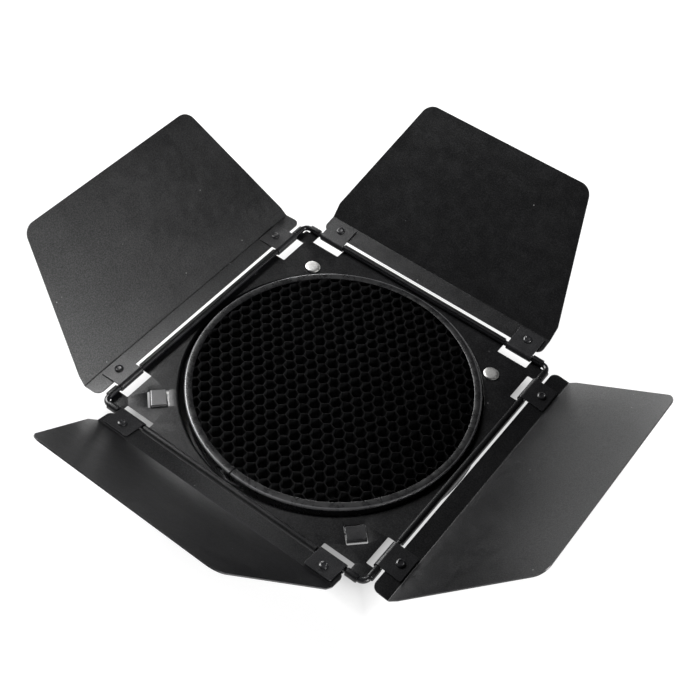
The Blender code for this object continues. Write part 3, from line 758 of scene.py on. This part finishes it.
def build_rim():
    """Split channel ring: a flange and rounded bulge above, a plain wall, a ledge below."""
    gap = SEAM_HALF / RIM_R
    t = RIM_T
    wall = RIM_WALL_R
    top, low = RIM_TOP, RIM_BOTTOM
    e = RIM_CUT_ROUND
    profile = [(RIM_IN, top - t + e), (RIM_IN, top - e), (RIM_IN + e * 0.3, top - e * 0.3),
               (RIM_IN + e, top)]
    profile += arc(RIM_R - RIM_ROUND, top - RIM_ROUND, RIM_ROUND, math.pi / 2, 0, 7)
    profile += [(wall, top - RIM_ROUND - RIM_STEP), (wall, low + e), (wall - e, low),
                (RIM_LEDGE_R, low), (RIM_LEDGE_R, low + t), (wall - t, low + t),
                (wall - t, top - t), (RIM_IN + e, top - t)]
    bm, rings = ring_sweep(profile, math.radians(SEAM_DEG) + gap, math.tau - 2 * gap, RIM_SEGS,
                           RIM_WAVE)
    for ring in (rings[0], rings[-1]):
        edges = [bm.edges.get(pair) for pair in zip(ring, ring[1:] + ring[:1])]
        bmesh.ops.triangle_fill(bm, use_beauty=True, use_dissolve=True, edges=edges)
    # painted highlight: the faces of the rim's rounded outer edge take the much lighter edge
    # finish
    for face in bm.faces:
        mid = face.calc_center_median()
        r = math.hypot(mid.x, mid.y)
        if r > RIM_R - RIM_ROUND and mid.z > top - RIM_ROUND:
            face.material_index = 1
    place_piece(bm, "grid_rim_ring", "grid", ["grid_rim"], [RIM_COAT, RIM_EDGE_HIGHLIGHT],
                Matrix.Translation(GRID_MID), flat=False)


def build_honeycomb():
    """Every cell of the foil: six walls with a thin top and bottom edge."""
    low = RIM_BOTTOM + RIM_T + FOIL_GAP
    high = RIM_TOP - RIM_T - FOIL_GAP
    limit = RIM_WALL_R - RIM_T - FOIL_WALL_GAP
    outer_r = CELL / math.sqrt(3.0)
    inner_r = (CELL - FOIL) / math.sqrt(3.0)
    u = Vector((math.cos(CELL_TURN), math.sin(CELL_TURN)))
    v = Vector((math.cos(CELL_TURN + math.pi / 3), math.sin(CELL_TURN + math.pi / 3)))
    count = int(limit / CELL * 1.2) + 2
    bm = bmesh.new()

    def settle(p):
        # foil nodes stray a little from a perfect lattice, and stop at the rim's wall; plain
        # noise is the same in every run, while noise_vector starts from the clock
        x, y = p * FOIL_STRAY_SCALE
        push = Vector([noise.noise(Vector((x, y, level))) for level in FOIL_STRAY_LEVELS])
        p = p + push * FOIL_STRAY
        return p * (limit / p.length) if p.length > limit else p

    for i in range(-count, count + 1):
        for j in range(-count, count + 1):
            c = (u * i + v * j) * CELL
            if c.length > limit - LEAST_CELL:
                continue
            outer, inner = [], []
            for k in range(6):
                a = CELL_TURN + math.pi / 6 + math.pi / 3 * k
                way = Vector((math.cos(a), math.sin(a)))
                node = settle(c + way * outer_r)
                outer.append(node)
                inner.append(node + (settle(c) - node).normalized() * (outer_r - inner_r))
            levels = []
            for z in (low, high):
                levels.append(([bm.verts.new((p.x, p.y, z)) for p in outer],
                               [bm.verts.new((p.x, p.y, z)) for p in inner]))
            for k in range(6):
                m = (k + 1) % 6
                for ring_out, ring_in in levels:
                    edge = bm.faces.new((ring_out[k], ring_out[m], ring_in[m], ring_in[k]))
                    edge.material_index = 1
                bm.faces.new((levels[0][1][k], levels[0][1][m], levels[1][1][m], levels[1][1][k]))
    place_piece(bm, "honeycomb_foil", "grid", ["grid_core"],
                [FOIL_COAT, FOIL_EDGE], Matrix.Translation(GRID_MID))


def build_spring(tag, degrees):
    """Strip on the rim's wall that bows out to the frame's throat in its middle."""
    seat = THROAT_R - SHEET / 2 - SPRING_SEAT_GAP
    inner, outer = SPRING_R, SPRING_R + SPRING_T
    bm = bmesh.new()
    rows = []
    for i in range(SPRING_STEPS + 1):
        share = i / SPRING_STEPS
        a = math.radians(degrees) + SPRING_HALF * (2 * share - 1)
        way = Vector((math.cos(a), math.sin(a)))
        off = Vector((GRID_MID.x, GRID_MID.y)).dot(way)
        room = max(seat - off - SPRING_R - SPRING_T, 0.0)
        rise = room * SPRING_BOW * math.sin(math.pi * share) ** 2
        rows.append([bm.verts.new((way.x * (r + rise), way.y * (r + rise), z))
                     for r, z in ((inner, SPRING_LOW), (inner, SPRING_HIGH),
                                  (outer, SPRING_HIGH), (outer, SPRING_LOW))])
    box_bar(bm, rows)
    place_piece(bm, "spring_clip_" + tag, "grid", ["grid_spring_" + tag],
                [SPRING_STEEL], Matrix.Translation(GRID_MID))


# ---------------------------------------------------------------- collar, hooks and latches
def build_collar():
    """L-section ring, open where the notches let hooks and levers through."""
    out = COLLAR_IN + COLLAR_T
    segs = COLLAR_SEGS
    e = COLLAR_ROUND
    rows = [(COLLAR_IN, NOTCH_LOW), (COLLAR_IN, e), (COLLAR_IN + e, 0), (COLLAR_FOOT_R - e, 0),
            (COLLAR_FOOT_R, e), (COLLAR_FOOT_R, COLLAR_T - e), (COLLAR_FOOT_R - e, COLLAR_T),
            (out + e, COLLAR_T), (out, COLLAR_T + e), (out, NOTCH_LOW), (out, NOTCH_HIGH),
            (out, COLLAR_TOP), (COLLAR_IN, COLLAR_TOP), (COLLAR_IN, NOTCH_HIGH)]
    # places in rows of the notch's four corners, inside and outside, low and high
    in_low, out_low, out_high, in_high = 0, 9, 10, 13
    bm = bmesh.new()
    rings = []
    for i in range(segs):
        a = math.tau * i / segs
        rings.append([bm.verts.new((r * math.cos(a), r * math.sin(a), z)) for r, z in rows])

    def in_notch(i):
        mid = math.degrees(math.tau * (i + 0.5) / segs)
        return any(abs(mid - deg) < math.degrees(half / COLLAR_IN) for deg, half in NOTCHES)

    count = len(rows)
    for i in range(segs):
        a, b = rings[i], rings[(i + 1) % segs]
        cut = in_notch(i)
        for k in range(count):
            if cut and k in (out_low, in_high):
                continue
            bm.faces.new((a[k], b[k], b[(k + 1) % count], a[(k + 1) % count]))
        if cut:
            bm.faces.new((a[out_low], b[out_low], b[in_low], a[in_low]))
            bm.faces.new((a[out_high], b[out_high], b[in_high], a[in_high]))
        if cut != in_notch((i - 1) % segs):
            bm.faces.new((a[out_low], a[out_high], a[in_high], a[in_low]))
    place_piece(bm, "reflector_collar", "frame", ["collar_ring"], [COLLAR_COAT])


def build_hook(side, degrees):
    """Bent strip: pad in the plate's window, down outside, in under the plate, down the collar."""
    t, r, edge = HOOK_T, HOOK_BEND_R, HOOK_EDGE
    pad = PLATE_TOP + HOOK_LIFT
    under = PLATE_LOW - HOOK_UNDER_GAP - t / 2
    wall = COLLAR_IN + COLLAR_T + HOOK_WALL_GAP + t / 2
    path = [(HOOK_START + along, pad) for along, _ in HOOK_END] + [(edge - r, pad)]
    path += arc(edge - r, pad - r, r, math.pi / 2, 0, 8)[1:]
    path += arc(edge - r, under + r, r, 0, -math.pi / 2, 8)
    path += arc(wall + r, under - r, r, math.pi / 2, math.pi, 8)
    path += arc(wall - r, GRIP_Z + r, r, 0, -math.pi / 2, 8)
    path += [(GRIP_R, GRIP_Z)]
    widths = [HOOK_HALF - narrow for _, narrow in HOOK_END]
    widths += [HOOK_HALF] * (len(path) - len(widths))
    bm = strip(path, t, widths)
    # painted light: faces below the plate take the light grey that stands in for the bright gap
    # seen through the window
    for face in bm.faces:
        if face.calc_center_median().z < PLATE_LOW:
            face.material_index = 1
    place_piece(bm, "hook_strip_" + side, "frame", ["hook_" + side],
                [STRIP_COAT_PAINTED_LIGHTER, UNDER_RUN_PAINTED_LIGHT, EDGE_COAT],
                Matrix.Rotation(math.radians(degrees), 4, "Z"), bevel=HOOK_BEVEL)


def square_ring(inner, outer, low, high, soft):
    """Section of a washer or spacer, its two outer edges cut by a small amount."""
    return [(inner, low), (outer - soft, low), (outer, low + soft), (outer, high - soft),
            (outer - soft, high), (inner, high)]


def build_fastener_set(side, sx, degrees):
    """A stud in a far corner with its washer, its spacer and the lever it holds."""
    mid = Vector((sx * STUD_AT * OFF_AXIS, STUD_AT * OFF_AXIS, 0))
    at = Matrix.Translation(mid)
    nickel = turned_metal("nickel_" + side, NICKEL, NICKEL_ROUGH, mid + CENTRE)
    seat = PLATE_TOP + WASHER_LIFT
    low = seat + WASHER_T + HEAD_GAP
    tail_top = GRIP_Z - LEVER_CLEAR
    profile = [*STUD_TAIL, (TAIL_R, tail_top), (STUD_R, tail_top), (STUD_R, low),
               (HEAD_R - 0.0002, low), (HEAD_R, low + 0.0002)]
    profile += [(HEAD_R - inward, low + HEAD_H - drop) for inward, drop in HEAD_DOME]
    place_piece(turned(profile, STUD_SEGS), "stud_" + side, "frame", ["latch_stud_" + side],
                [nickel], at)
    washer = square_ring(STUD_R + WASHER_PLAY, WASHER_R, seat, seat + WASHER_T, WASHER_ROUND)
    place_piece(turned(washer, STUD_SEGS, True), "washer_" + side, "frame",
                ["latch_washer_" + side], [nickel],
                at @ Matrix.Translation(WASHER_ASIDE))
    spacer = square_ring(STUD_R + SPACER_PLAY, SPACER_R, GRIP_Z + LEVER_CLEAR,
                         PLATE_LOW - SPACER_GAP, SPACER_ROUND)
    place_piece(turned(spacer, SPACER_SEGS, True), "spacer_" + side, "frame",
                ["latch_spacer_" + side], [RIVET_COAT], at)
    build_lever(side, at @ Matrix.Rotation(math.radians(degrees), 4, "Z"))


def build_lever(side, matrix):
    """Flat lever: finger inward through the collar, round boss on the stud, thumb tail outward."""
    half, boss, soft = LEVER_HALF, LEVER_BOSS_R, LEVER_TIP_R
    tip = STUD_AT - GRIP_R
    a = math.asin(half / boss)
    outline = arc(-tip + soft, -half + soft, soft, -math.pi / 2, -math.pi, 4)
    outline += arc(-tip + soft, half - soft, soft, math.pi, math.pi / 2, 4)
    outline += arc(0, 0, boss, math.pi - a, a, 16)
    outline += arc(LEVER_TAIL, 0, half, math.pi / 2, -math.pi / 2, 16)
    outline += arc(0, 0, boss, -a, a - math.pi, 16)
    bm = bmesh.new()
    edges = joined_loop(bm, outline, GRIP_Z)
    edges += joined_loop(bm, full_circle(0, 0, STUD_R + LEVER_PLAY, LEVER_SEGS), GRIP_Z)
    bmesh.ops.triangle_fill(bm, use_beauty=True, use_dissolve=False, edges=edges)
    place_piece(bm, "lever_" + side, "latch_%s_lever" % side, ["latch_" + side],
                [STRIP_COAT_PAINTED_LIGHTER, EDGE_COAT], matrix, thick=LEVER_T)


build_plate()
build_wire()
build_collar()
for leaf_key, leaf_spec in LEAVES.items():
    build_leaf(leaf_key, leaf_spec)
build_rim()
build_honeycomb()
for spring_tag, spring_at in SPRINGS:
    build_spring(spring_tag, spring_at)
build_hook("left", 225.0)
build_hook("right", 315.0)
build_fastener_set("left", -1, 135.0)
build_fastener_set("right", 1, 45.0)


# ---------------------------------------------------------------- floor, lights and camera
FLOOR_HALF = 6.0
FLOOR_DROP = 0.0002          # the floor lies this far below the collar's foot
FLOOR_GLOW = 0.84
GLOW_IN_PAINTED_SHADE = 0.36           # share of the floor's glow left in the painted shade under the plate's notches
SHADE_END = 0.105            # out from the middle, where the floor has its full glow again
WORLD_GLOW = 0.03
HORIZON_GLOW = 0.84
HORIZON_LOW = 0.05           # heights of a line of sight between which the paper's glow fades
HORIZON_HIGH = 0.18
LIGHT_AWAY = 2.2
CAMERA_RIGHT = Vector((0.8, 0.6, 0))      # level directions as the camera sees them
CAMERA_BACK = Vector((-0.6, 0.8, 0))
CAMERA_SENSOR = 36.0                      # millimetres, as is the lens
CAMERA_LENS = 62.02
CAMERA_FROM = Vector((0.24950, -0.36905, WIRE_Z + 0.57045))   # from the frame's middle
CAMERA_TURN = (39.5465, -3.4293, 37.0514)


def build_floor():
    """Pale paper that glows so that it stays white, with a painted shadow: its glow dims below
    the plate and is gone inside the collar."""
    bm = bmesh.new()
    bmesh.ops.create_grid(bm, x_segments=4, y_segments=4, size=FLOOR_HALF)
    mesh = bpy.data.meshes.new("floor")
    bm.to_mesh(mesh)
    bm.free()
    s = Shader("pale_paper")
    s.link(s.blend(s.noise(4.0), (0.22, 0.22, 0.22), (0.26, 0.26, 0.26)),
           s.bsdf.inputs["Base Color"])
    s.set(Roughness=0.9)
    s.bsdf.inputs["Emission Color"].default_value = (1.0, 1.0, 1.0, 1.0)
    shift = s.add("ShaderNodeMapping")
    shift.inputs["Location"].default_value = -CENTRE
    s.link(s.place, shift.inputs["Vector"])
    away = s.add("ShaderNodeVectorMath", operation="LENGTH")
    s.link(shift.outputs["Vector"], away.inputs[0])
    # painted shadow: no glow inside the collar and less glow under the plate, for the shade the
    # frame casts on the floor
    inside = s.spread(away.outputs["Value"], COLLAR_IN, COLLAR_IN + COLLAR_T, 0.0, FLOOR_GLOW)
    split = s.add("ShaderNodeSeparateXYZ")
    s.link(shift.outputs["Vector"], split.inputs["Vector"])
    sides = [s.maths("ABSOLUTE", split.outputs[axis]) for axis in ("X", "Y")]
    shade = s.spread(s.maths("MAXIMUM", *sides), SLOT_OUT, SHADE_END, GLOW_IN_PAINTED_SHADE, 1.0)
    s.link(s.maths("MULTIPLY", inside, shade), s.bsdf.inputs["Emission Strength"])
    mesh.materials.append(s.mat)
    obj = bpy.data.objects.new("floor", mesh)
    bpy.context.scene.collection.objects.link(obj)
    obj.location.z = -FLOOR_DROP


def soft_light(name, way, size, radiance):
    """A soft box in a direction from the frame's middle, given as shares to the camera's
    right, to the back and up; its power follows from its brightness and size."""
    place = CAMERA_RIGHT * way[0] + CAMERA_BACK * way[1] + Vector((0, 0, way[2]))
    place = place.normalized() * LIGHT_AWAY
    data = bpy.data.lights.new(name, "AREA")
    data.shape = "RECTANGLE"
    data.size, data.size_y = size
    data.energy = radiance * math.pi * size[0] * size[1]
    obj = bpy.data.objects.new(name, data)
    bpy.context.scene.collection.objects.link(obj)
    obj.location = CENTRE + place
    obj.rotation_euler = (-place).to_track_quat("-Z", "Y").to_euler()
    obj.visible_camera = False


def build_world():
    """Dim room overhead, with the pale paper running on up past the horizon."""
    world = bpy.data.worlds.new("studio")
    world.use_nodes = True
    nodes, links = world.node_tree.nodes, world.node_tree.links
    back = nodes["Background"]
    back.inputs["Color"].default_value = (1.0, 1.0, 1.0, 1.0)
    split = nodes.new("ShaderNodeSeparateXYZ")
    links.new(nodes.new("ShaderNodeTexCoord").outputs["Generated"], split.inputs["Vector"])
    fade = nodes.new("ShaderNodeMapRange")
    for key, value in (("From Min", HORIZON_LOW), ("From Max", HORIZON_HIGH),
                       ("To Min", HORIZON_GLOW), ("To Max", WORLD_GLOW)):
        fade.inputs[key].default_value = value
    links.new(split.outputs["Z"], fade.inputs["Value"])
    links.new(fade.outputs["Result"], back.inputs["Strength"])
    bpy.context.scene.world = world


build_floor()
build_world()
soft_light("soft_box_left", (-0.58, 0.51, 0.65), (1.4, 1.2), 16.0)
soft_light("soft_box_right", (0.78, -0.57, 0.46), (1.1, 0.9), 20.0)
soft_light("backdrop_glow", (-0.01, 0.98, 0.15), (0.9, 0.5), 13.0)

camera = bpy.data.cameras.new("camera")
camera.sensor_width = CAMERA_SENSOR
camera.lens = CAMERA_LENS
camera_obj = bpy.data.objects.new("camera", camera)
bpy.context.scene.collection.objects.link(camera_obj)
camera_obj.location = CENTRE + CAMERA_FROM
camera_obj.rotation_euler = [math.radians(a) for a in CAMERA_TURN]
bpy.context.scene.camera = camera_obj
bpy.context.scene.view_settings.view_transform = "Standard"
